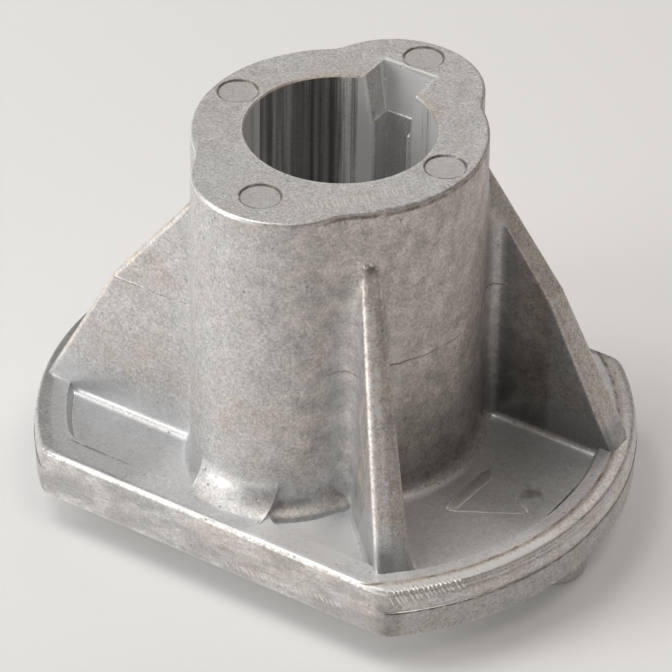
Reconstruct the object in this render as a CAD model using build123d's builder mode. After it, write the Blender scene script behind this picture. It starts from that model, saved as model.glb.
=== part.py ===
"""Blade holder of a walk-behind mower: one aluminium die casting.

The hub slides on the crankshaft and is turned by a key. The flange under it carries the blade,
which two round lugs drive. Two walls and two ribs stiffen the hub on the flange.
The origin is on the bore axis in the blade's seat, +Z points up the hub, and +Y to the keyway.
All lengths are in millimetres and all angles in degrees.
"""
import os
from math import hypot, radians, sin, sqrt, tan

from build123d import *

# Bore and keyway
bore_diameter = 22.2
bore_chamfer = 0.2
key_width = 4.8
key_depth = 3.0
notch_width = 7.3
notch_reach = 4.1
notch_depth = 6.2
notch_taper = 8.0

# Hub, with its outline at the blade's seat
hub_height = 46.2
hub_wall = 6.5
hub_draft = 0.5
hub_edge = 0.45
lobe_rise = 4.4
lobe_radius = 10.9
lobe_angle = 87.3
valley_radius = 4.0

# Drive lugs
lug_pitch = 61.0
lug_diameter = 8.8
lug_height = 4.8
lug_round = 1.1
lug_margin = 1.35

# Flange, with its outline at the parting line
flange_height = 6.45
flat_margin = 5.2
corner_radius = 3.2
parting_height = 3.8
parting_step = 0.15
upper_draft = 4.0
lower_draft = 2.0
flange_edge = 0.5
seat_edge = 0.2

# Rim around the pockets, and the bridges from the rim to the lobes
rim_width = 3.8
pocket_depth = 1.0
pocket_draft = 35.0
pocket_corner = 1.2
bridge_width = 10.2
bridge_flare = 4.0

# Walls along X, and ribs towards two corners of the flange
gusset_drop = 8.2
ridge_thickness = 2.3
ridge_flat = 0.7
gusset_draft = 1.75
root_radius = 1.7
floor_radius = 1.1
wall_inset = 5.4
wall_foot_margin = 0.9
kink_height = 24.6
kink_bulge = 1.9
rib_turn = 132.8
rib_foot_margin = 3.4

# Ejector marks on the hub's top
mark_diameter = 4.8
mark_depth = 0.2

# How closely an edge or face is matched when it is picked
tolerance = 0.01

# Sizes that follow
bore_radius = bore_diameter / 2
hub_radius = bore_radius + hub_wall
lobe_reach = hub_radius + lobe_rise
flange_radius = (lug_pitch + lug_diameter) / 2 + lug_margin
flange_flat = lobe_reach + flat_margin
floor_height = flange_height - pocket_depth
rim_height = flange_height - parting_height
plate_rise = floor_height - parting_height
pocket_slope = tan(radians(pocket_draft))
plate_radius = flange_radius - rim_width / 4
plate_flat = flange_flat - rim_width / 4
gusset_top = hub_height - gusset_drop
ridge_radius = (ridge_thickness - ridge_flat) / 2
wall_offset = hub_radius - wall_inset
rib_angle = lobe_angle - rib_turn
key_back = bore_radius + key_depth
notch_back = bore_radius + notch_reach
mark_ring = bore_radius + (hub_wall - hub_edge) / 2
lobe_mark = (bore_radius + lobe_reach) / 2
notch_mark = (notch_back + lobe_reach) / 2 - hub_edge
gusset_foot = ridge_thickness + 2 * gusset_top * tan(radians(gusset_draft))


def hub_outline():
    """Round hub with two lobes, one behind the keyway and one opposite it."""
    with BuildSketch(mode=Mode.PRIVATE) as outline:
        Circle(hub_radius)
        with PolarLocations(lobe_reach - lobe_radius, 2, start_angle=lobe_angle):
            Circle(lobe_radius)
        fillet(outline.vertices(), valley_radius)
    return outline.sketch


def flange_outline(margin=0, arc_step=0):
    """Disc with two flats along X and rounded corners, drawn in by a margin, its arcs let out by a step."""
    with BuildSketch(mode=Mode.PRIVATE) as outline:
        Circle(flange_radius - margin + arc_step)
        Rectangle(2 * (flange_radius + arc_step), 2 * (flange_flat - margin), mode=Mode.INTERSECT)
        fillet(outline.vertices(), corner_radius)
    return outline.sketch


def is_slope(face):
    """A face under the free edge of a wall or rib, which leans outward and up."""
    return face.normal_at().X > tolerance and face.normal_at().Z > tolerance


def gusset(offset, free_edge):
    """Upright wall with drafted sides, under a rounded free edge from inside the hub to the foot."""
    foot = free_edge[-1][0]
    with BuildPart() as wall:
        with BuildSketch():
            with Locations((0, offset)):
                Rectangle(4 * foot, gusset_foot)
        extrude(amount=hub_height, taper=gusset_draft)
        with BuildSketch(Plane.XZ):
            with BuildLine():
                Polyline((0, 0), (0, free_edge[0][1]), *free_edge, (foot, 0), close=True)
            make_face()
        extrude(amount=2 * foot, both=True, mode=Mode.INTERSECT)
        slopes = wall.faces().filter_by(is_slope)
        fillet(slopes.edges().filter_by(Axis.Y, reverse=True), ridge_radius)
    return wall.part


def buried_end(root, corner):
    """Where the line from a corner of the free edge to its root on the hub ends inside the hub."""
    rise = gusset_drop / 2
    run = rise * (corner[0] - root) / (gusset_top - corner[1])
    return (root - run, gusset_top + rise)


def is_root(edge):
    """An edge where a wall or rib meets the hub, from the pocket floor up."""
    box = edge.bounding_box()
    on_hub = hypot(edge.center().X, edge.center().Y) < lobe_reach
    rises = floor_height + root_radius < box.max.Z < hub_height
    return on_hub and rises and abs(box.min.Z - floor_height) < tolerance


def is_floor_edge(edge):
    """An edge where the hub, a wall or a rib meets the pocket floor."""
    box = edge.bounding_box()
    middle = edge @ 0.5
    on_floor = abs(box.min.Z - floor_height) < tolerance and abs(box.max.Z - floor_height) < tolerance
    on_plate = abs(middle.X) < plate_reach - tolerance and abs(middle.Y) < plate_flat - tolerance
    return on_floor and on_plate and hypot(middle.X, middle.Y) < plate_radius - tolerance


def is_bridge_corner(corner):
    """A corner where the side of a bridge meets the rim along a flat."""
    return abs(corner.X) < bridge_width and abs(corner.Y) > hub_radius


def is_bore_rim(edge):
    """A rim of the bore, at the hub's top or in the blade's seat."""
    return edge.geom_type == GeomType.CIRCLE and abs(edge.radius - bore_radius) < tolerance


# Walls: their free edge stands a little proud at its kink
wall_root = sqrt(hub_radius**2 - wall_offset**2)
wall_foot = sqrt((flange_radius - wall_foot_margin) ** 2 - wall_offset**2)
plate_reach = wall_foot - root_radius
kink_share = (gusset_top - kink_height) / (gusset_top - floor_height)
wall_kink = (wall_root + kink_share * (wall_foot - wall_root) + kink_bulge, kink_height)
wall = gusset(wall_offset, [buried_end(wall_root, wall_kink), wall_kink, (wall_foot, floor_height)])

# Ribs: their free edge is straight, and ends short of the arc or the flat, whichever is nearer
rib_reach = min(flange_radius, flange_flat / abs(sin(radians(rib_angle))))
rib_foot = (rib_reach - rib_foot_margin, floor_height)
rib = gusset(0, [buried_end(hub_radius, rib_foot), rib_foot]).rotate(Axis.Z, rib_angle)

# Rim of the flange, above the parting line
with BuildPart() as rim:
    with BuildSketch(Plane.XY.offset(parting_height)):
        add(flange_outline())
    extrude(amount=rim_height, taper=upper_draft)
    fillet(rim.faces().sort_by(Axis.Z)[-1].edges(), flange_edge)
    with BuildSketch(Plane.XY.offset(parting_height)) as pockets:
        add(flange_outline(rim_width + rim_height * pocket_slope))
        with Locations((0, lobe_reach), (0, -lobe_reach)):
            Rectangle(bridge_width + 2 * plate_rise * pocket_slope, 2 * flat_margin, mode=Mode.SUBTRACT)
        fillet(pockets.vertices().filter_by(is_bridge_corner), pocket_corner)
    extrude(amount=rim_height, taper=-pocket_draft, mode=Mode.SUBTRACT)

# Bridges: the hub's foot flares out to the rim at each lobe
with BuildPart() as bridges:
    with BuildSketch():
        Circle(flange_radius)
    extrude(amount=flange_height)
    with BuildSketch():
        add(hub_outline())
    extrude(amount=hub_height, taper=hub_draft)
    ledge = bridges.faces().filter_by(Axis.Z).sort_by(Axis.Z)[1]
    fillet(ledge.inner_wires().edges(), bridge_flare)
    with BuildSketch(Plane.XY.offset(parting_height)):
        with Locations((0, lobe_reach), (0, -lobe_reach)):
            Rectangle(bridge_width, 2 * bridge_flare)
    extrude(amount=rim_height + 2 * bridge_flare, mode=Mode.INTERSECT)

with BuildPart() as blade_holder:
    # Flange below the parting line, and the plate under the pockets
    with BuildSketch(Plane.XY.offset(parting_height)):
        add(flange_outline(arc_step=parting_step))
    extrude(amount=-parting_height, taper=lower_draft)
    chamfer(blade_holder.faces().sort_by(Axis.Z)[0].edges(), seat_edge)
    with BuildSketch():
        Circle(plate_radius)
        Rectangle(2 * plate_reach, 2 * plate_flat, mode=Mode.INTERSECT)
    extrude(amount=floor_height)

    # Hub with a rounded top edge, and the walls and ribs, rounded into it and into the plate
    with BuildSketch():
        add(hub_outline())
    extrude(amount=hub_height, taper=hub_draft)
    fillet(blade_holder.faces().sort_by(Axis.Z)[-1].edges(), hub_edge)
    add([wall, rib, wall.rotate(Axis.Z, 180), rib.rotate(Axis.Z, 180)])
    fillet(blade_holder.edges().filter_by(is_root), root_radius)
    fillet(blade_holder.edges().filter_by(is_floor_edge), floor_radius)

    # Rim and bridges around the pockets
    add([rim.part, bridges.part])

    # Shallow marks that the ejector pins left on the hub's top
    with BuildSketch(Plane.XY.offset(hub_height)):
        with Locations((mark_ring, 0), (-mark_ring, 0), (0, notch_mark), (0, -lobe_mark)):
            Circle(mark_diameter / 2)
    extrude(amount=-mark_depth, mode=Mode.SUBTRACT)

    # Drive lugs under the flange
    with BuildSketch():
        with Locations((lug_pitch / 2, 0), (-lug_pitch / 2, 0)):
            Circle(lug_diameter / 2)
    extrude(amount=-lug_height)
    fillet(blade_holder.faces().group_by(Axis.Z)[0].edges(), lug_round)

    # Bore with both rims broken, keyway, and the wider notch where the key starts
    with BuildSketch():
        Circle(bore_radius)
    extrude(amount=hub_height, mode=Mode.SUBTRACT)
    chamfer(blade_holder.edges().filter_by(is_bore_rim), bore_chamfer)
    with BuildSketch():
        with Locations((0, key_back / 2)):
            Rectangle(key_width, key_back)
    extrude(amount=hub_height, mode=Mode.SUBTRACT)
    with BuildSketch(Plane.XY.offset(hub_height)):
        with Locations((0, notch_back / 2)):
            Rectangle(notch_width, notch_back)
    extrude(amount=-notch_depth, taper=notch_taper, mode=Mode.SUBTRACT)

blade_holder.part.label = "blade_holder"
os.makedirs("parts", exist_ok=True)
export_step(blade_holder.part, "parts/blade_holder.step")
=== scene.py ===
"""Studio picture of the blade holder: the cast node in its metal, with the marks that casting and trimming left."""
import math
import random

import bmesh
import bpy
from mathutils import Matrix, Vector, noise
from mathutils.bvhtree import BVHTree


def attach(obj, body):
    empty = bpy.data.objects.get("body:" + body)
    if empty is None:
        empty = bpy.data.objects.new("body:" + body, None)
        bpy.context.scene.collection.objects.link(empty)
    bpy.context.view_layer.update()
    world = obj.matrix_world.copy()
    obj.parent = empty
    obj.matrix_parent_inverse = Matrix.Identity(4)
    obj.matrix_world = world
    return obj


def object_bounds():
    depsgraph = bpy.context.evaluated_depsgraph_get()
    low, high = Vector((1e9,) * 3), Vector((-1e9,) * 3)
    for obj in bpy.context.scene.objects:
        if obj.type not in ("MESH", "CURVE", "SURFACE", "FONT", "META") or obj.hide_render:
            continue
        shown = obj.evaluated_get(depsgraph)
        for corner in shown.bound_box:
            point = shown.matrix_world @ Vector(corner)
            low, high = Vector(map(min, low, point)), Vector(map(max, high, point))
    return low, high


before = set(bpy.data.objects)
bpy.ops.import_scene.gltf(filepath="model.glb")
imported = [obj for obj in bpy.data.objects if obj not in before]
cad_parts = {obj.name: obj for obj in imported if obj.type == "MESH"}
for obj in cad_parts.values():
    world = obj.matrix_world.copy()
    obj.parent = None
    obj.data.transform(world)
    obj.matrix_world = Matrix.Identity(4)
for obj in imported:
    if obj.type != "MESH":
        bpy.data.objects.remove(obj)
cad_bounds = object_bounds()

MM = 0.001
scene = bpy.context.scene
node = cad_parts["blade_holder"]

# Heights of the pocket floor, parting line and die seam, and the radius of the lip line, in millimetres
FLOOR = 5.45
PARTING = 3.8
WITNESS = 24.5
LIP = 34.0

# Centres of the ejector marks on the hub's top, their height, and the direction of the ribs
PINS = ((14.125, 0.0), (-14.125, 0.0), (0.0, 18.15), (0.0, -16.55))
PIN_HEIGHT = 46.1
RIB_X, RIB_Y = 0.701, -0.713

# How deep the foot of an added mark is sunk, and the side of the square picture in pixels
SUNK = 0.03
PICTURE = 672

# The hub's wall near its foot: a circle with two lobes
HUB = 17.55
LOBE = 10.85
LOBE_CENTRE = 11.1
LOBE_BEARING = math.radians(87.3)

# Profiles of its foot, as steps out from the wall and up from the pocket floor
SWEEP_RADIUS = 2.4
SWEEP = [
    (SWEEP_RADIUS * (1 - math.cos(turn)), SWEEP_RADIUS * (1 - math.sin(turn)) - SUNK)
    for turn in (k * math.pi / 20 for k in range(11))
]
LEDGE = [
    (-0.05, 3.1), (0.12, 2.35), (0.4, 1.65), (0.85, 1.15), (1.35, 0.85), (1.7, 0.64), (1.93, 0.35), (2.0, -SUNK)
]

# Colours of the casting's skin, some also carrying painted light and shade
COOL = (0.62, 0.61, 0.605, 1)
WARM = (0.605, 0.57, 0.54, 1)
SMOOTH_AND_PAINTED_LIGHT = (0.68, 0.695, 0.715, 1)
WORN_AND_HIGHLIGHT = (0.86, 0.84, 0.80, 1)
TAN = (0.62, 0.57, 0.51, 1)
GRIME_AND_SHADE = (0.17, 0.145, 0.115, 1)
TOP = (0.62, 0.625, 0.63, 1)
BORE = (0.56, 0.555, 0.55, 1)
METALLIC = 0.5


class Graph:
    """A material's nodes, with constants set on the sockets that they feed."""

    def __init__(self, name):
        self.material = bpy.data.materials.new(name)
        self.material.use_nodes = True
        self.tree = self.material.node_tree
        self.shader = self.tree.nodes["Principled BSDF"]

    def add(self, kind, **settings):
        made = self.tree.nodes.new(kind)
        for key, value in settings.items():
            setattr(made, key, value)
        return made

    def put(self, socket, value):
        if isinstance(value, bpy.types.NodeSocket):
            self.tree.links.new(value, socket)
        else:
            socket.default_value = value

    def math(self, operation, *values, clamp=False):
        made = self.add("ShaderNodeMath", operation=operation, use_clamp=clamp)
        for socket, value in zip(made.inputs, values):
            self.put(socket, value)
        return made.outputs[0]

    def vector(self, operation, *values):
        made = self.add("ShaderNodeVectorMath", operation=operation)
        for socket, value in zip(made.inputs, values):
            self.put(socket, value)
        return made

    def scaled(self, vector, factors):
        return self.vector("MULTIPLY", vector, factors).outputs[0]

    def step(self, value, low, high, start=0.0, end=1.0):
        """A smooth step from start at low to end at high."""
        made = self.add("ShaderNodeMapRange", interpolation_type="SMOOTHSTEP")
        for socket, given in zip(made.inputs, (value, low, high, start, end)):
            self.put(socket, given)
        return made.outputs[0]

    def band(self, value, low, rise, fall, high):
        """A smooth step up from low to rise, and down again from fall to high."""
        return self.times(self.step(value, low, rise), self.step(value, fall, high, 1.0, 0.0))

    def noise(self, vector, scale, detail=2.0, rough=0.5, distortion=0.0):
        made = self.add("ShaderNodeTexNoise")
        self.put(made.inputs["Vector"], vector)
        made.inputs["Scale"].default_value = scale
        made.inputs["Detail"].default_value = detail
        made.inputs["Roughness"].default_value = rough
        made.inputs["Distortion"].default_value = distortion
        return made.outputs[0]

    def cells(self, vector, scale):
        made = self.add("ShaderNodeTexVoronoi", feature="F1")
        self.put(made.inputs["Vector"], vector)
        made.inputs["Scale"].default_value = scale
        return made.outputs["Distance"]

    def mix(self, share, first, second):
        made = self.add("ShaderNodeMix", data_type="RGBA", blend_type="MIX")
        self.put(made.inputs[0], share)
        self.put(made.inputs[6], first)
        self.put(made.inputs[7], second)
        return made.outputs[2]

    def times(self, *values):
        product = values[0]
        for value in values[1:]:
            product = self.math("MULTIPLY", product, value)
        return product

    def plus(self, *values):
        total = values[0]
        for value in values[1:]:
            total = self.math("ADD", total, value)
        return total

    def most(self, *values):
        highest = values[0]
        for value in values[1:]:
            highest = self.math("MAXIMUM", highest, value)
        return highest

    def without(self, value):
        """What is left of 1 without a share."""
        return self.math("SUBTRACT", 1.0, value)


def cast_metal():
    """Tumbled die-cast aluminium: mottled grain, smooth hollows, worn edges, brown stains, streaked bore, with
    painted highlights on edges and ridges, painted light in hollows, floors and the notch, and painted shade on the
    hub's right side, its walls, the rib, the arrow and the bore.
    """
    g = Graph("cast_aluminium_look")
    place = g.add("ShaderNodeTexCoord").outputs["Object"]
    mm = g.scaled(place, (1000.0, 1000.0, 1000.0))
    xyz = g.add("ShaderNodeSeparateXYZ")
    g.put(xyz.inputs[0], mm)
    x, y, z = xyz.outputs
    normal = g.add("ShaderNodeNewGeometry").outputs["Normal"]
    slant = g.add("ShaderNodeSeparateXYZ")
    g.put(slant.inputs[0], normal)
    _, ny, nz = slant.outputs
    reach = g.math("SQRT", g.plus(g.times(x, x), g.times(y, y)))
    angle = g.math("ARCTAN2", y, x)
    depth_x, depth_y = g.math("ABSOLUTE", x), g.math("ABSOLUTE", y)
    upright = g.step(g.math("ABSOLUTE", nz), 0.35, 0.7, 1.0, 0.0)
    level = g.step(nz, 0.8, 0.93)

    # Regions
    in_bore = g.times(g.step(reach, 11.5, 11.9, 1.0, 0.0), upright)
    on_flat = g.times(g.step(depth_y, 26.0, 26.4), upright, g.step(g.math("ABSOLUTE", ny), 0.7, 0.9))
    on_arc = g.times(g.step(reach, 34.9, 35.3), g.step(g.math("ABSOLUTE", ny), 0.9, 0.97, 1.0, 0.0))
    on_hub = g.times(g.step(reach, 16.4, 16.8), g.step(z, 42.0, 43.0))
    on_top = g.times(level, g.step(z, 45.0, 45.5))
    on_floor = g.times(level, g.step(z, 6.0, 6.2, 1.0, 0.0))
    low = g.times(level, g.step(z, 7.0, 7.5, 1.0, 0.0))
    topside = g.times(g.step(z, 7.0, 7.5, 1.0, 0.0), g.step(nz, 0.3, 0.6))
    free_edge = g.times(
        g.band(nz, 0.12, 0.3, 0.75, 0.85), g.band(z, 8.0, 10.0, 40.0, 41.0), g.step(reach, 17.5, 18.5)
    )
    # Painted shade on the walls' faces inside the pockets, where the hub keeps the light off
    inside = g.step(g.times(ny, g.math("SIGN", y)), -0.95, -0.8, 1.0, 0.0)
    shaded_wall = g.times(inside, g.band(depth_y, 7.0, 8.0, 12.8, 13.2), g.step(reach, 17.0, 18.5), upright)
    shaded_wall = g.times(shaded_wall, g.without(free_edge))
    along = g.plus(g.times(x, RIB_X), g.times(y, RIB_Y))
    beside = g.plus(g.times(x, -RIB_Y), g.times(y, RIB_X))
    on_rib = g.times(g.step(g.math("ABSOLUTE", beside), 2.4, 3.0, 1.0, 0.0), g.step(reach, 18.5, 19.5))
    # The rib's side away from the light and its lit side, for painted shade and a painted highlight on it
    rib_shade_side = g.step(g.times(beside, g.math("SIGN", along)), -0.3, 0.35)
    rib_lit_side = g.times(on_rib, g.without(rib_shade_side))
    # The hub's shaded right side: the warm tint, brown and darkening laid on it below are painted shade, and its
    # blotches are random
    right_side = g.times(upright, g.band(angle, -1.6, -1.1, 0.5, 0.8), g.band(reach, 16.0, 16.5, 25.0, 26.0))
    in_notch = g.times(
        g.band(y, 14.1, 14.3, 15.4, 15.6), g.step(depth_x, 3.9, 4.1, 1.0, 0.0), g.step(z, 39.2, 40.4), upright
    )
    pins = [g.vector("DISTANCE", mm, (*centre, PIN_HEIGHT)).outputs["Value"] for centre in PINS]
    pin = g.math("MINIMUM", g.math("MINIMUM", pins[0], pins[1]), g.math("MINIMUM", pins[2], pins[3]))
    in_pin = g.step(pin, 2.2, 2.36, 1.0, 0.0)

    # Edges, where tumbling wore the skin bright and a painted highlight brightens it further, and corners, where the
    # skin stayed smooth and grey and is painted lighter against their shade
    bevel = g.add("ShaderNodeBevel", samples=6)
    bevel.inputs["Radius"].default_value = 0.0006
    turned = g.vector("DOT_PRODUCT", bevel.outputs[0], normal).outputs["Value"]
    edge = g.step(turned, 0.93, 0.995, 1.0, 0.0)
    shade = g.add("ShaderNodeAmbientOcclusion", samples=6, only_local=True)
    shade.inputs["Distance"].default_value = 0.006
    hollow = g.times(g.step(shade.outputs["AO"], 0.5, 0.86, 1.0, 0.0), g.step(reach, 12.0, 12.5))
    # Near the floor the walls stay smooth; their tone is darkened there as painted shade
    skirt = g.times(upright, g.step(z, 7.5, 12.0, 1.0, 0.0), g.band(reach, 18.5, 20.0, 33.5, 34.5))
    skirt = g.times(skirt, g.step(depth_y, 24.0, 25.5, 1.0, 0.0))
    on_rim = g.times(level, g.band(z, 6.1, 6.3, 6.6, 6.8))
    smooth_rim = g.times(on_rim, g.step(reach, LIP, LIP + 0.4, 0.7, 0.2))
    # Smooth skin in hollows, on floors, in the notch, on the inner rim and at the walls' feet; its lighter colour is
    # also painted light that lifts the shade in hollows, on floors and in the notch
    smooth_and_painted_light = g.most(hollow, g.times(on_floor, 0.75), in_notch, smooth_rim, g.times(skirt, 0.8))

    # Grain and stains
    fine = g.noise(mm, 3.2, 2.0, 0.6)
    grit = g.noise(mm, 1.7, 3.0, 0.6)
    mottle = g.noise(mm, 0.55, 3.0, 0.6)
    cloud = g.noise(mm, 0.09, 3.0, 0.55)
    stain = g.noise(mm, 0.35, 3.0, 0.6)
    smear = g.noise(mm, 0.9, 2.0, 0.5)
    flecks = g.step(g.cells(mm, 1.9), 0.12, 0.26, 1.0, 0.0)
    pits = g.step(g.cells(g.vector("ADD", mm, (3.1, 7.7, 1.3)).outputs[0], 0.55), 0.05, 0.11, 1.0, 0.0)

    # Vertical draw marks in the bore
    wrap = g.add("ShaderNodeCombineXYZ")
    g.put(wrap.inputs[0], g.times(angle, 11.0))
    g.put(wrap.inputs[1], g.times(z, 0.012))
    streak = g.noise(wrap.outputs[0], 0.9, 4.0, 0.7)

    # Torn skin in long patches on the flats
    torn = g.noise(g.scaled(mm, (0.3, 1.0, 1.0)), 1.5, 4.0, 0.7, 1.2)
    patch = g.step(g.noise(g.scaled(mm, (0.5, 1.0, 1.0)), 0.35, 2.0, 0.5), 0.42, 0.58)
    torn = g.times(on_flat, torn, g.plus(0.35, g.times(patch, 0.65)))

    # Grime in the seams, under the lips and around the ejector marks, and painted shade along a pocket's front edge,
    # where its wall faces away from the light
    blot = g.step(smear, 0.36, 0.56)
    front = g.band(angle, -1.25, -1.0, 0.2, 0.5)
    top_line = g.times(on_hub, front, g.band(z, 45.2, 45.5, 45.75, 45.95), g.step(mottle, 0.35, 0.55, 0.3, 1.0))
    right_arc = g.times(on_rim, g.step(x, 5.0, 12.0))
    lip_line = g.times(right_arc, g.band(reach, LIP - 0.3, LIP - 0.05, LIP + 0.1, LIP + 0.3))
    lip_line = g.times(lip_line, g.step(mottle, 0.4, 0.6, 0.35, 1.0))
    parting_line = g.times(on_arc, g.band(z, PARTING - 0.3, PARTING - 0.16, PARTING - 0.05, PARTING))
    wander = g.plus(z, g.times(stain, 0.8), -0.4)
    die_line = g.times(g.band(wander, WITNESS - 0.2, WITNESS - 0.08, WITNESS + 0.02, WITNESS + 0.14), upright)
    lobes = g.times(g.step(depth_x, 8.0, 9.5, 1.0, 0.0), g.step(depth_y, 11.0, 12.5))
    die_line = g.times(die_line, g.step(reach, 16.0, 16.5), g.without(g.most(lobes, on_rib)))
    die_line = g.times(die_line, g.without(shaded_wall), g.without(free_edge))
    pin_line = g.times(g.band(pin, 2.2, 2.34, 2.46, 2.62), g.step(z, 45.5, 45.8))
    # Painted shade along the left pocket's front edge
    pocket_line = g.times(level, g.band(y, -23.75, -23.6, -23.4, -23.3), g.band(x, -23.0, -21.5, -18.0, -10.0))
    lines = g.plus(top_line, lip_line, parting_line, g.times(die_line, 0.65))
    lines = g.plus(lines, g.times(pin_line, 0.9), g.times(pocket_line, 0.8))
    lines = g.math("MULTIPLY", lines, g.plus(0.4, g.times(blot, 0.6)), clamp=True)
    spill = g.vector("DISTANCE", mm, (27.7, -0.8, FLOOR)).outputs["Value"]
    spill = g.step(g.plus(spill, g.times(smear, 3.2)), 1.8, 3.4, 1.0, 0.0)
    crown = g.vector("DISTANCE", mm, (12.5, -12.7, 38.6)).outputs["Value"]
    crown = g.step(g.plus(crown, g.times(smear, 1.2)), 0.9, 1.5, 1.0, 0.0)

    # Painted highlights along edges: the left lobe's brow, the flats' upper edges and the back of the notch
    rounded = g.band(nz, 0.1, 0.3, 0.93, 0.98)
    brow = g.times(on_hub, g.step(z, 45.6, 45.8), rounded, g.band(angle, -3.0, -2.8, -1.5, -1.2))
    brink = g.times(g.step(depth_y, 26.35, 26.5), g.step(z, 5.85, 5.95), rounded)
    brink = g.times(brink, g.step(grit, 0.3, 0.6, 0.35, 1.0))
    sill = g.times(g.band(y, 14.8, 15.0, 15.6, 15.8), g.step(depth_x, 3.4, 3.8, 1.0, 0.0), g.step(z, 45.6, 45.9))
    painted_highlight = g.most(brow, g.times(brink, 0.75), sill)

    # Colour
    warm = g.math("MULTIPLY", g.step(cloud, 0.40, 0.60), g.step(stain, 0.32, 0.62), clamp=True)
    # Warm tint painted on the hub's shaded right side, as painted shade
    warm = g.most(warm, g.times(right_side, g.step(stain, 0.35, 0.6, 0.45, 1.0)))
    colour = g.mix(warm, COOL, WARM)
    # Brown: stains along ridges, kept off the rib's lit side, so on the rib and on the hub's right side it is
    # painted shade
    brown = g.times(free_edge, g.step(stain, 0.32, 0.55), g.without(rib_lit_side))
    brown = g.most(brown, g.times(right_side, g.step(angle, -1.0, -0.75), 0.45))
    colour = g.mix(brown, colour, TAN)
    # Lighter smooth colour: real smooth skin, and painted light where shade falls
    colour = g.mix(g.times(smooth_and_painted_light, 0.95), colour, SMOOTH_AND_PAINTED_LIGHT)
    # Painted shade on the arrow's inner facet, which faces away from the light
    facet = g.times(g.band(x, 20.9, 21.3, 22.0, 22.7), g.band(y, -8.9, -8.0, -0.8, 0.3))
    facet = g.times(facet, g.band(z, 5.46, 5.52, 5.95, 6.05))
    colour = g.mix(g.times(facet, 0.45), colour, TAN)
    colour = g.mix(g.times(on_top, 0.6), colour, TOP)
    # Edges worn bright, with a painted highlight on top of the wear
    colour = g.mix(g.times(edge, 0.6), colour, WORN_AND_HIGHLIGHT)
    colour = g.mix(g.times(in_bore, 0.9), colour, BORE)
    mouth = g.times(g.band(reach, 10.9, 11.05, 11.7, 12.2), g.step(z, 45.0, 45.8))
    mouth = g.times(mouth, g.band(angle, 0.5, 0.9, 2.8, 3.1))
    lip = g.times(right_arc, g.band(reach, LIP - 0.6, LIP, LIP + 0.3, LIP + 0.8))
    colour = g.mix(g.times(g.most(lip, mouth), 0.7), colour, TAN)
    # Painted highlights on the brow, the flats' upper edges and the notch's back
    colour = g.mix(g.times(painted_highlight, 0.8), colour, WORN_AND_HIGHLIGHT)
    # Grime in the seams and around the marks, and painted shade along the pocket's edge
    colour = g.mix(g.times(lines, 0.8), colour, GRIME_AND_SHADE)
    colour = g.mix(g.times(g.most(spill, crown), 0.6), colour, GRIME_AND_SHADE)

    # Tone
    grain = g.plus(-1.1, g.times(fine, 1.2), g.times(grit, 0.55), g.times(mottle, 0.45))
    calm = g.plus(g.times(smooth_and_painted_light, -0.75), g.times(in_bore, -0.5), g.times(in_pin, -0.5), g.times(on_flat, -0.35))
    grain = g.times(grain, g.plus(1.0, calm))
    bright = g.plus(1.0, grain, g.times(flecks, g.plus(0.12, g.times(free_edge, 0.3))), g.times(pits, -0.3))
    # Bore tone: draw streaks, with painted light towards the keyway and painted shade beyond it
    streaks_and_painted_light = g.times(g.step(streak, 0.32, 0.68, 0.35, 1.9), g.step(angle, 1.95, 2.3, 1.9, 0.32))
    streaks_and_painted_light = g.times(streaks_and_painted_light, g.step(angle, 2.6, 2.8, 1.0, 1.75))
    # Painted shade in hollows on the right side
    dim_corner = g.times(hollow, upright, g.step(x, 14.0, 16.0))
    bright = g.times(
        bright,
        g.plus(1.0, g.times(in_bore, g.math("SUBTRACT", streaks_and_painted_light, 1.0))),
        # Painted shade on those wall faces
        g.plus(1.0, g.times(shaded_wall, -0.33)),
        # Painted highlight on the walls' ridge tops
        g.plus(1.0, g.times(free_edge, g.without(on_rib), 0.35)),
        # Painted shade on the arrow's facet, on the walls near the floor and in hollows on the right
        g.plus(1.0, g.times(facet, -0.15), g.times(skirt, -0.12), g.times(dim_corner, -0.2)),
        g.plus(1.0, g.times(torn, 0.8), g.times(on_flat, -0.33)),
        g.plus(1.0, g.times(on_top, 0.1), g.times(in_pin, -0.06)),
        # Painted shade low on the hub's right side
        g.plus(1.0, g.times(right_side, g.step(angle, -0.9, -0.75), g.step(z, 8.0, 26.0, -0.34, 0.0))),
        # Painted shade on the rib's upright faces on its lit side, and a painted highlight along its lit ridge
        g.plus(1.0, g.times(rib_lit_side, upright, -0.18), g.times(rib_lit_side, free_edge, 0.55)),
        # Painted shade on the left pocket's floor, and painted light on the floor in front of the rib and on the
        # sector floor
        g.plus(1.0, g.times(low, g.step(x, -14.0, -9.0, -0.2, 0.0))),
        g.plus(1.0, g.times(low, g.step(y, -18.0, -15.0, 1.0, 0.0), g.band(x, 3.0, 6.0, 14.0, 18.0), 0.45)),
        g.plus(1.0, g.times(low, g.step(x, 12.0, 18.0), g.step(y, -10.0, -4.0, 0.35, 0.0))),
        g.plus(1.0, g.times(on_arc, upright, g.step(z, PARTING - 0.1, PARTING + 0.1, -0.18, 0.12))),
        # Painted light on the right end of the arcs' faces
        g.plus(1.0, g.times(on_arc, upright, g.step(angle, -0.4, 0.3, 0.0, 0.25))),
        # Painted highlight on the flange's rounded shoulder
        g.plus(1.0, g.times(topside, g.step(reach, LIP + 0.4, LIP + 0.8), g.step(x, 8.0, 14.0), 0.3)),
        # Painted highlights on those edges, and painted light in the notch
        g.plus(1.0, g.times(painted_highlight, 0.2), g.times(in_notch, 0.45)),
        g.plus(1.0, g.times(right_side, g.plus(g.times(mottle, 0.6), g.times(stain, 0.8), -0.7))),
    )
    tone = g.add("ShaderNodeCombineXYZ")
    for socket in tone.inputs:
        g.put(socket, bright)
    colour = g.vector("MULTIPLY", colour, tone.outputs[0]).outputs[0]
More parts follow.
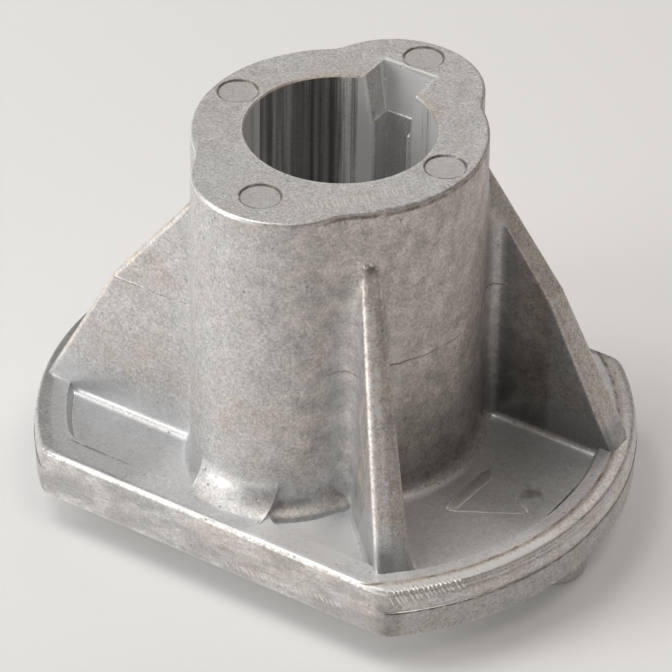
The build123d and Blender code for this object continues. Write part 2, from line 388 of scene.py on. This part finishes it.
    g.put(g.shader.inputs["Base Color"], g.vector("MINIMUM", colour, (0.95, 0.95, 0.95)).outputs[0])
    g.shader.inputs["Metallic"].default_value = METALLIC

    # Roughness
    rough = g.plus(0.37, g.times(grit, 0.2), g.times(smooth_and_painted_light, -0.14), g.times(edge, -0.08), g.times(in_bore, -0.08))
    g.put(g.shader.inputs["Roughness"], g.plus(rough, g.times(lines, 0.15), g.times(painted_highlight, -0.08)))

    # Relief, in metres; the flange's upper edge rounds off from the lip line outward
    past_lip = g.most(g.plus(reach, -LIP - 0.2), 0.0)
    past_flat = g.most(g.plus(depth_y, -25.9), 0.0)
    past_face = g.most(g.plus(z, -5.1), 0.0)
    rounding = g.plus(g.times(topside, past_lip, past_lip), g.times(topside, past_flat, past_flat, 1.2))
    rounding = g.plus(rounding, g.times(g.most(on_arc, on_flat), upright, past_face, past_face, 0.6))
    relief = g.plus(
        g.times(rounding, -0.00018),
        g.times(fine, 0.000010),
        g.times(grit, g.plus(0.000035, g.times(smooth_and_painted_light, -0.000025))),
        g.times(g.noise(mm, 0.25, 2.0, 0.5), 0.00010),
        g.times(pits, -0.00005),
        g.times(torn, 0.00020),
        g.times(on_arc, grit, 0.00006),
        g.times(in_bore, streak, 0.00008),
        g.times(lines, -0.00006),
    )
    bump = g.add("ShaderNodeBump")
    bump.inputs["Strength"].default_value = 1.0
    bump.inputs["Distance"].default_value = 1.0
    g.put(bump.inputs["Height"], relief)
    g.put(g.shader.inputs["Normal"], bump.outputs[0])
    return g.material


def worn_metal():
    """Bare metal where a tool dug in."""
    g = Graph("worn_aluminium_look")
    g.shader.inputs["Base Color"].default_value = WORN_AND_HIGHLIGHT
    g.shader.inputs["Metallic"].default_value = METALLIC
    g.shader.inputs["Roughness"].default_value = 0.32
    return g.material


metal, bare = cast_metal(), worn_metal()
node.data.materials.clear()
node.data.materials.append(metal)


# Camera
azimuth, elevation, roll = map(math.radians, (32.25, 36.44, 0.9))
right = Vector((math.cos(azimuth), math.sin(azimuth), 0))
back = Vector((
    math.sin(azimuth) * math.cos(elevation), -math.cos(azimuth) * math.cos(elevation), math.sin(elevation)
))
up = back.cross(right)
across = math.cos(roll) * right + math.sin(roll) * up
upward = math.cos(roll) * up - math.sin(roll) * right
eye = Vector((0, 0, 16.55)) * MM - right * 0.12 * MM + back * 478.79 * MM
camera = bpy.data.objects.new("camera", bpy.data.cameras.new("camera"))
scene.collection.objects.link(camera)
camera.matrix_world = Matrix((
    (across.x, upward.x, back.x, eye.x),
    (across.y, upward.y, back.y, eye.y),
    (across.z, upward.z, back.z, eye.z),
    (0, 0, 0, 1),
))
camera.data.sensor_width = 36
camera.data.lens = 215.5
camera.data.clip_start = 0.01
scene.camera = camera


# Marks that casting and trimming left, set on the skin of the casting
skin = bmesh.new()
skin.from_mesh(node.data)
bmesh.ops.remove_doubles(skin, verts=skin.verts, dist=1e-7)
skin_tree = BVHTree.FromBMesh(skin)


def spot(column, row):
    """Point and normal of the casting's skin behind a pixel of the picture."""
    focus = camera.data.lens * PICTURE / camera.data.sensor_width
    towards = across * (column - PICTURE / 2) - upward * (row - PICTURE / 2) - back * focus
    place, normal, _, _ = skin_tree.ray_cast(eye, towards.normalized())
    return place, normal


def piece(name, points, faces, look=metal):
    """A piece of the casting's own metal, which rides with it."""
    mesh = bpy.data.meshes.new(name)
    mesh.from_pydata(points, [], faces)
    mesh.polygons.foreach_set("use_smooth", [True] * len(mesh.polygons))
    mesh.materials.append(look)
    made = bpy.data.objects.new(name, mesh)
    scene.collection.objects.link(made)
    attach(made, "root")
    return made


def outline(height):
    """The casting's outline at a height, as its longest closed run of points."""
    cut = skin.copy()
    found = bmesh.ops.bisect_plane(
        cut, geom=cut.verts[:] + cut.edges[:] + cut.faces[:], plane_co=(0, 0, height * MM), plane_no=(0, 0, 1)
    )
    beside = {}
    for item in found["geom_cut"]:
        if isinstance(item, bmesh.types.BMEdge):
            one, other = item.verts
            beside.setdefault(one, []).append(other)
            beside.setdefault(other, []).append(one)
    runs = []
    while beside:
        run = [next(iter(beside))]
        while True:
            ahead = [v for v in beside.pop(run[-1], []) if v in beside]
            if not ahead:
                break
            run.append(ahead[0])
        runs.append([v.co.copy() for v in run])
    cut.free()
    return max(runs, key=lambda run: sum((b - a).length for a, b in zip(run, run[1:])))


def evenly(run, gap):
    """Points at even gaps along a closed run."""
    points, left = [], 0.0
    for a, b in zip(run, run[1:] + run[:1]):
        length = (b - a).length
        while left < length:
            points.append(a.lerp(b, left / length))
            left += gap
        left -= length
    return points


def seam(name, height, width, rise, shows):
    """A fine ridge around the casting, where two parts of the die met, that swells and fades where it shows."""
    run = evenly(outline(height), 0.35 * MM)
    points, faces = [], []
    for i, place in enumerate(run):
        _, normal, _, _ = skin_tree.find_nearest(place)
        ahead = (run[(i + 1) % len(run)] - run[i - 1]).normalized()
        side = normal.cross(ahead).normalized()
        swell = 0.5 + 0.9 * noise.noise(place * 180) + 0.4 * noise.noise(place * 900)
        lift = rise * min(1.0, max(0.0, swell)) if shows(place / MM) else -SUNK
        sway = side * 0.12 * noise.noise(place * 260) * MM
        for share, height_by in ((-0.5, -SUNK), (-0.16, lift), (0.16, lift), (0.5, -SUNK)):
            points.append(place + sway + side * share * width * MM + normal * height_by * MM)
    rows = len(run)
    for i in range(rows):
        a, b = 4 * i, 4 * ((i + 1) % rows)
        faces += [(a + k, b + k, b + k + 1, a + k + 1) for k in range(3)]
    return piece(name, points, faces)


def shoulder(name, bearing):
    """The swell of an arc of the flange between the parting line and the lip."""
    profile = ((3.88, -SUNK), (4.15, 0.07), (4.55, 0.12), (5.0, 0.12), (5.4, 0.07), (5.72, -SUNK))
    points, faces, count = [], [], 120
    for i in range(count + 1):
        turn = math.radians(bearing - 46 + 92 * i / count)
        outward = Vector((math.cos(turn), math.sin(turn), 0))
        fade = min(1.0, i / 12, (count - i) / 12)
        for height, swell in profile:
            place, _, _, _ = skin_tree.ray_cast(outward * 60 * MM + Vector((0, 0, height * MM)), -outward)
            points.append(place + outward * (swell * fade if swell > 0 else swell) * MM)
    rows = len(profile)
    for i in range(count):
        a, b = rows * i, rows * (i + 1)
        faces += [(a + k, b + k, b + k + 1, a + k + 1) for k in range(rows - 1)]
    return piece(name, points, faces)


def hub_reach(bearing):
    """How far the hub's lobed wall stands from the bore's axis near its foot, at a bearing in radians."""
    reach = HUB
    for lobe in (LOBE_BEARING, LOBE_BEARING + math.pi):
        beside = LOBE_CENTRE * math.sin(bearing - lobe)
        if math.cos(bearing - lobe) > 0 and abs(beside) < LOBE:
            reach = max(reach, LOBE_CENTRE * math.cos(bearing - lobe) + math.sqrt(LOBE**2 - beside**2))
    return reach


def foot(name, first, last, profile):
    """The hub's foot in a pocket between two bearings in degrees: steps out from its wall and up from the floor."""
    points, faces, count, rows = [], [], 80, len(profile)
    for i in range(count + 1):
        bearing = math.radians(first + (last - first) * i / count)
        outward = Vector((math.cos(bearing), math.sin(bearing), 0))
        for out, rise in profile:
            points.append((outward * (hub_reach(bearing) + out) + Vector((0, 0, FLOOR + rise))) * MM)
    for i in range(count):
        a, b = rows * i, rows * (i + 1)
        faces += [(a + k, a + k + 1, b + k + 1, b + k) for k in range(rows - 1)]
    return piece(name, points, faces)


def ridge(start, end, width, rise):
    """Points and faces of one low stroke along the skin between two pixels, sunk a little at its foot."""
    shares = [i / 6 for i in range(7)]
    found = [spot(*(f + (l - f) * share for f, l in zip(start, end))) for share in shares]
    ahead = (found[-1][0] - found[0][0]).normalized()
    points, faces = [], []
    for share, (place, normal) in zip(shares, found):
        swell = min(1.0, 0.15 + 4 * share, 0.15 + 4 * (1 - share))
        side = ahead.cross(normal).normalized() * width * swell * MM / 2
        sunk = normal * SUNK * MM
        points += [place - side - sunk, place + normal * rise * swell * MM, place + side - sunk]
    for i in range(0, 18, 3):
        faces += [(i, i + 1, i + 4, i + 3), (i + 1, i + 2, i + 5, i + 4)]
    return points, faces


def strokes(name, first, last, count, width, rise, seed):
    """A row of strokes from a first to a last one, each given by the pixels of its ends."""
    chance = random.Random(seed)
    points, faces = [], []
    for i in range(count):
        share = (i + chance.uniform(-0.25, 0.25)) / (count - 1)
        start, end = [
            tuple(f + (l - f) * share + chance.uniform(-0.7, 0.7) for f, l in zip(first[k], last[k])) for k in (0, 1)
        ]
        more, sides = ridge(start, end, width * chance.uniform(0.7, 1.2), rise * chance.uniform(0.5, 1.3))
        faces += [tuple(v + len(points) for v in side) for side in sides]
        points += more
    return piece(name, points, faces, bare)


def wedge(start, end, crest, inner, outer):
    """Points and faces of one side of the arrow on a pocket floor: steep inside, gentle outside."""
    a, b = (Vector((*end_point, FLOOR)) for end_point in (start, end))
    ahead = (b - a).normalized()
    inward = Vector((-ahead.y, ahead.x, 0))
    points = []
    for share in (0.0, 0.12, 0.5, 0.88, 1.0):
        place = a.lerp(b, share)
        swell = 0.25 if share in (0.0, 1.0) else 1.0
        foot = Vector((0, 0, -0.02))
        lift = Vector((0, 0, crest * swell))
        points += [place - inward * outer * swell + foot, place + lift, place + inward * inner * swell + foot]
    faces = []
    for i in range(0, 12, 3):
        faces += [(i, i + 1, i + 4, i + 3), (i + 1, i + 2, i + 5, i + 4)]
    return [point * MM for point in points], faces


def joined(name, parts):
    """One piece of several lots of points and faces."""
    points, faces = [], []
    for more, sides in parts:
        faces += [tuple(v + len(points) for v in side) for side in sides]
        points += more
    return piece(name, points, faces)


def lump(column, row, radius, squash, seed):
    """Points and faces of one uneven bead on the skin behind a pixel."""
    place, normal = spot(column, row)
    turn = normal.to_track_quat("Z", "Y").to_matrix()
    ball = bmesh.new()
    bmesh.ops.create_icosphere(ball, subdivisions=2, radius=radius * MM)
    chance = random.Random(seed)
    offset = Vector((chance.uniform(0, 9), chance.uniform(0, 9), chance.uniform(0, 9)))
    points = []
    for v in ball.verts:
        swell = 1 + 0.35 * noise.noise(v.co / (radius * MM) * 1.3 + offset)
        local = Vector((v.co.x, v.co.y, v.co.z * squash)) * swell
        points.append(place + turn @ local)
    faces = [tuple(v.index for v in face.verts) for face in ball.faces]
    ball.free()
    return points, faces


def on_arc(place):
    """Whether a place on the parting line is on an arc of the flange, not on a flat."""
    return abs(place.y) < 25.4


def off_lobes(place):
    """Whether a place on the die seam is clear of the hub's lobes."""
    return not (abs(place.x) < 9 and abs(place.y) > 12)


seam("die_seam", WITNESS, 0.5, 0.06, off_lobes)
seam("parting_flash", PARTING + 0.04, 0.3, 0.08, on_arc)
shoulder("right_shoulder", 0)
shoulder("left_shoulder", 180)
foot("right_foot", -44, 38, SWEEP)
foot("left_foot", 136, 218, SWEEP)
foot("front_foot", -86, -50, LEDGE)
foot("back_foot", 94, 130, LEDGE)
joined("direction_arrow", [
    wedge((21.4, 0.3), (20.8, -8.86), 0.42, 1.3, 0.5),
    wedge((21.2, -8.86), (29.38, -4.14), 0.16, 0.14, 0.3),
    wedge((29.38, -4.14), (25.42, -1.62), 0.2, 0.16, 0.3),
])
joined("beads", [
    lump(205, 468, 0.24, 0.8, 1),
    lump(366, 267, 0.35, 0.5, 2),
    lump(372, 265, 0.3, 0.6, 3),
    lump(377, 268, 0.25, 0.6, 4),
    lump(373, 186, 0.2, 0.7, 5),
])
strokes("top_tool_marks", ((300, 210), (298.5, 204)), ((330, 209), (326, 200)), 6, 0.3, 0.07, 1)
strokes("top_tool_marks.more", ((334, 208.5), (330, 198)), ((406, 195), (402, 185)), 13, 0.32, 0.08, 2)
strokes("rim_tool_marks", ((386, 589), (395, 607)), ((458, 576), (466, 589)), 16, 0.32, 0.16, 3)
strokes("flat_tool_marks", ((226, 562), (230, 568)), ((338, 602), (342, 609)), 24, 0.3, 0.08, 4)


# Floor, on which the part stands on its lugs
ground = cad_bounds[0].z
floor_mesh = bpy.data.meshes.new("floor")
floor_mesh.from_pydata([(-4, -4, ground), (4, -4, ground), (4, 4, ground), (-4, 4, ground)], [], [(0, 1, 2, 3)])
floor = bpy.data.objects.new("floor", floor_mesh)
scene.collection.objects.link(floor)
paper = Graph("paper")
paper.shader.inputs["Base Color"].default_value = (0.96, 0.96, 0.96, 1)
paper.shader.inputs["Roughness"].default_value = 1.0
paper.shader.inputs["Emission Color"].default_value = (1.0, 0.985, 0.97, 1)
paper.shader.inputs["Emission Strength"].default_value = 0.08
floor_mesh.materials.append(paper.material)

# Soft lights, in metres
LIGHT_SIZE = 0.35
LIGHT_DISTANCE = 0.7


def softbox(name, bearing, height, strength, colour):
    """A soft round light, at a bearing from the camera to its right and a height, both in degrees."""
    light = bpy.data.lights.new(name, "AREA")
    light.shape = "DISK"
    light.size = LIGHT_SIZE
    light.energy = strength
    light.color = colour
    lamp = bpy.data.objects.new(name, light)
    scene.collection.objects.link(lamp)
    a, e = azimuth + math.radians(bearing), math.radians(height)
    towards = Vector((math.sin(a) * math.cos(e), -math.cos(a) * math.cos(e), math.sin(e)))
    lamp.location = Vector((0, 0, 0.02)) + towards * LIGHT_DISTANCE
    lamp.rotation_mode = "QUATERNION"
    lamp.rotation_quaternion = towards.to_track_quat("Z", "Y")


softbox("high_left", -90, 68, 1.3, (1.0, 0.985, 0.965))
softbox("left", -90, 40, 1.0, (1.0, 1.0, 1.0))
softbox("low_front", -68, 14, 1.95, (1.0, 0.985, 0.965))
softbox("high_front", 42, 66, 0.72, (1.0, 0.94, 0.88))
softbox("back_right", 135, 42, 0.5, (1.0, 0.93, 0.86))
softbox("back", 180, 40, 0.3, (1.0, 0.96, 0.92))
world = bpy.data.worlds.new("studio")
scene.world = world
world.use_nodes = True
world.node_tree.nodes["Background"].inputs["Color"].default_value = (1.0, 0.88, 0.76, 1)
world.node_tree.nodes["Background"].inputs["Strength"].default_value = 0.03
scene.view_settings.view_transform = "Standard"
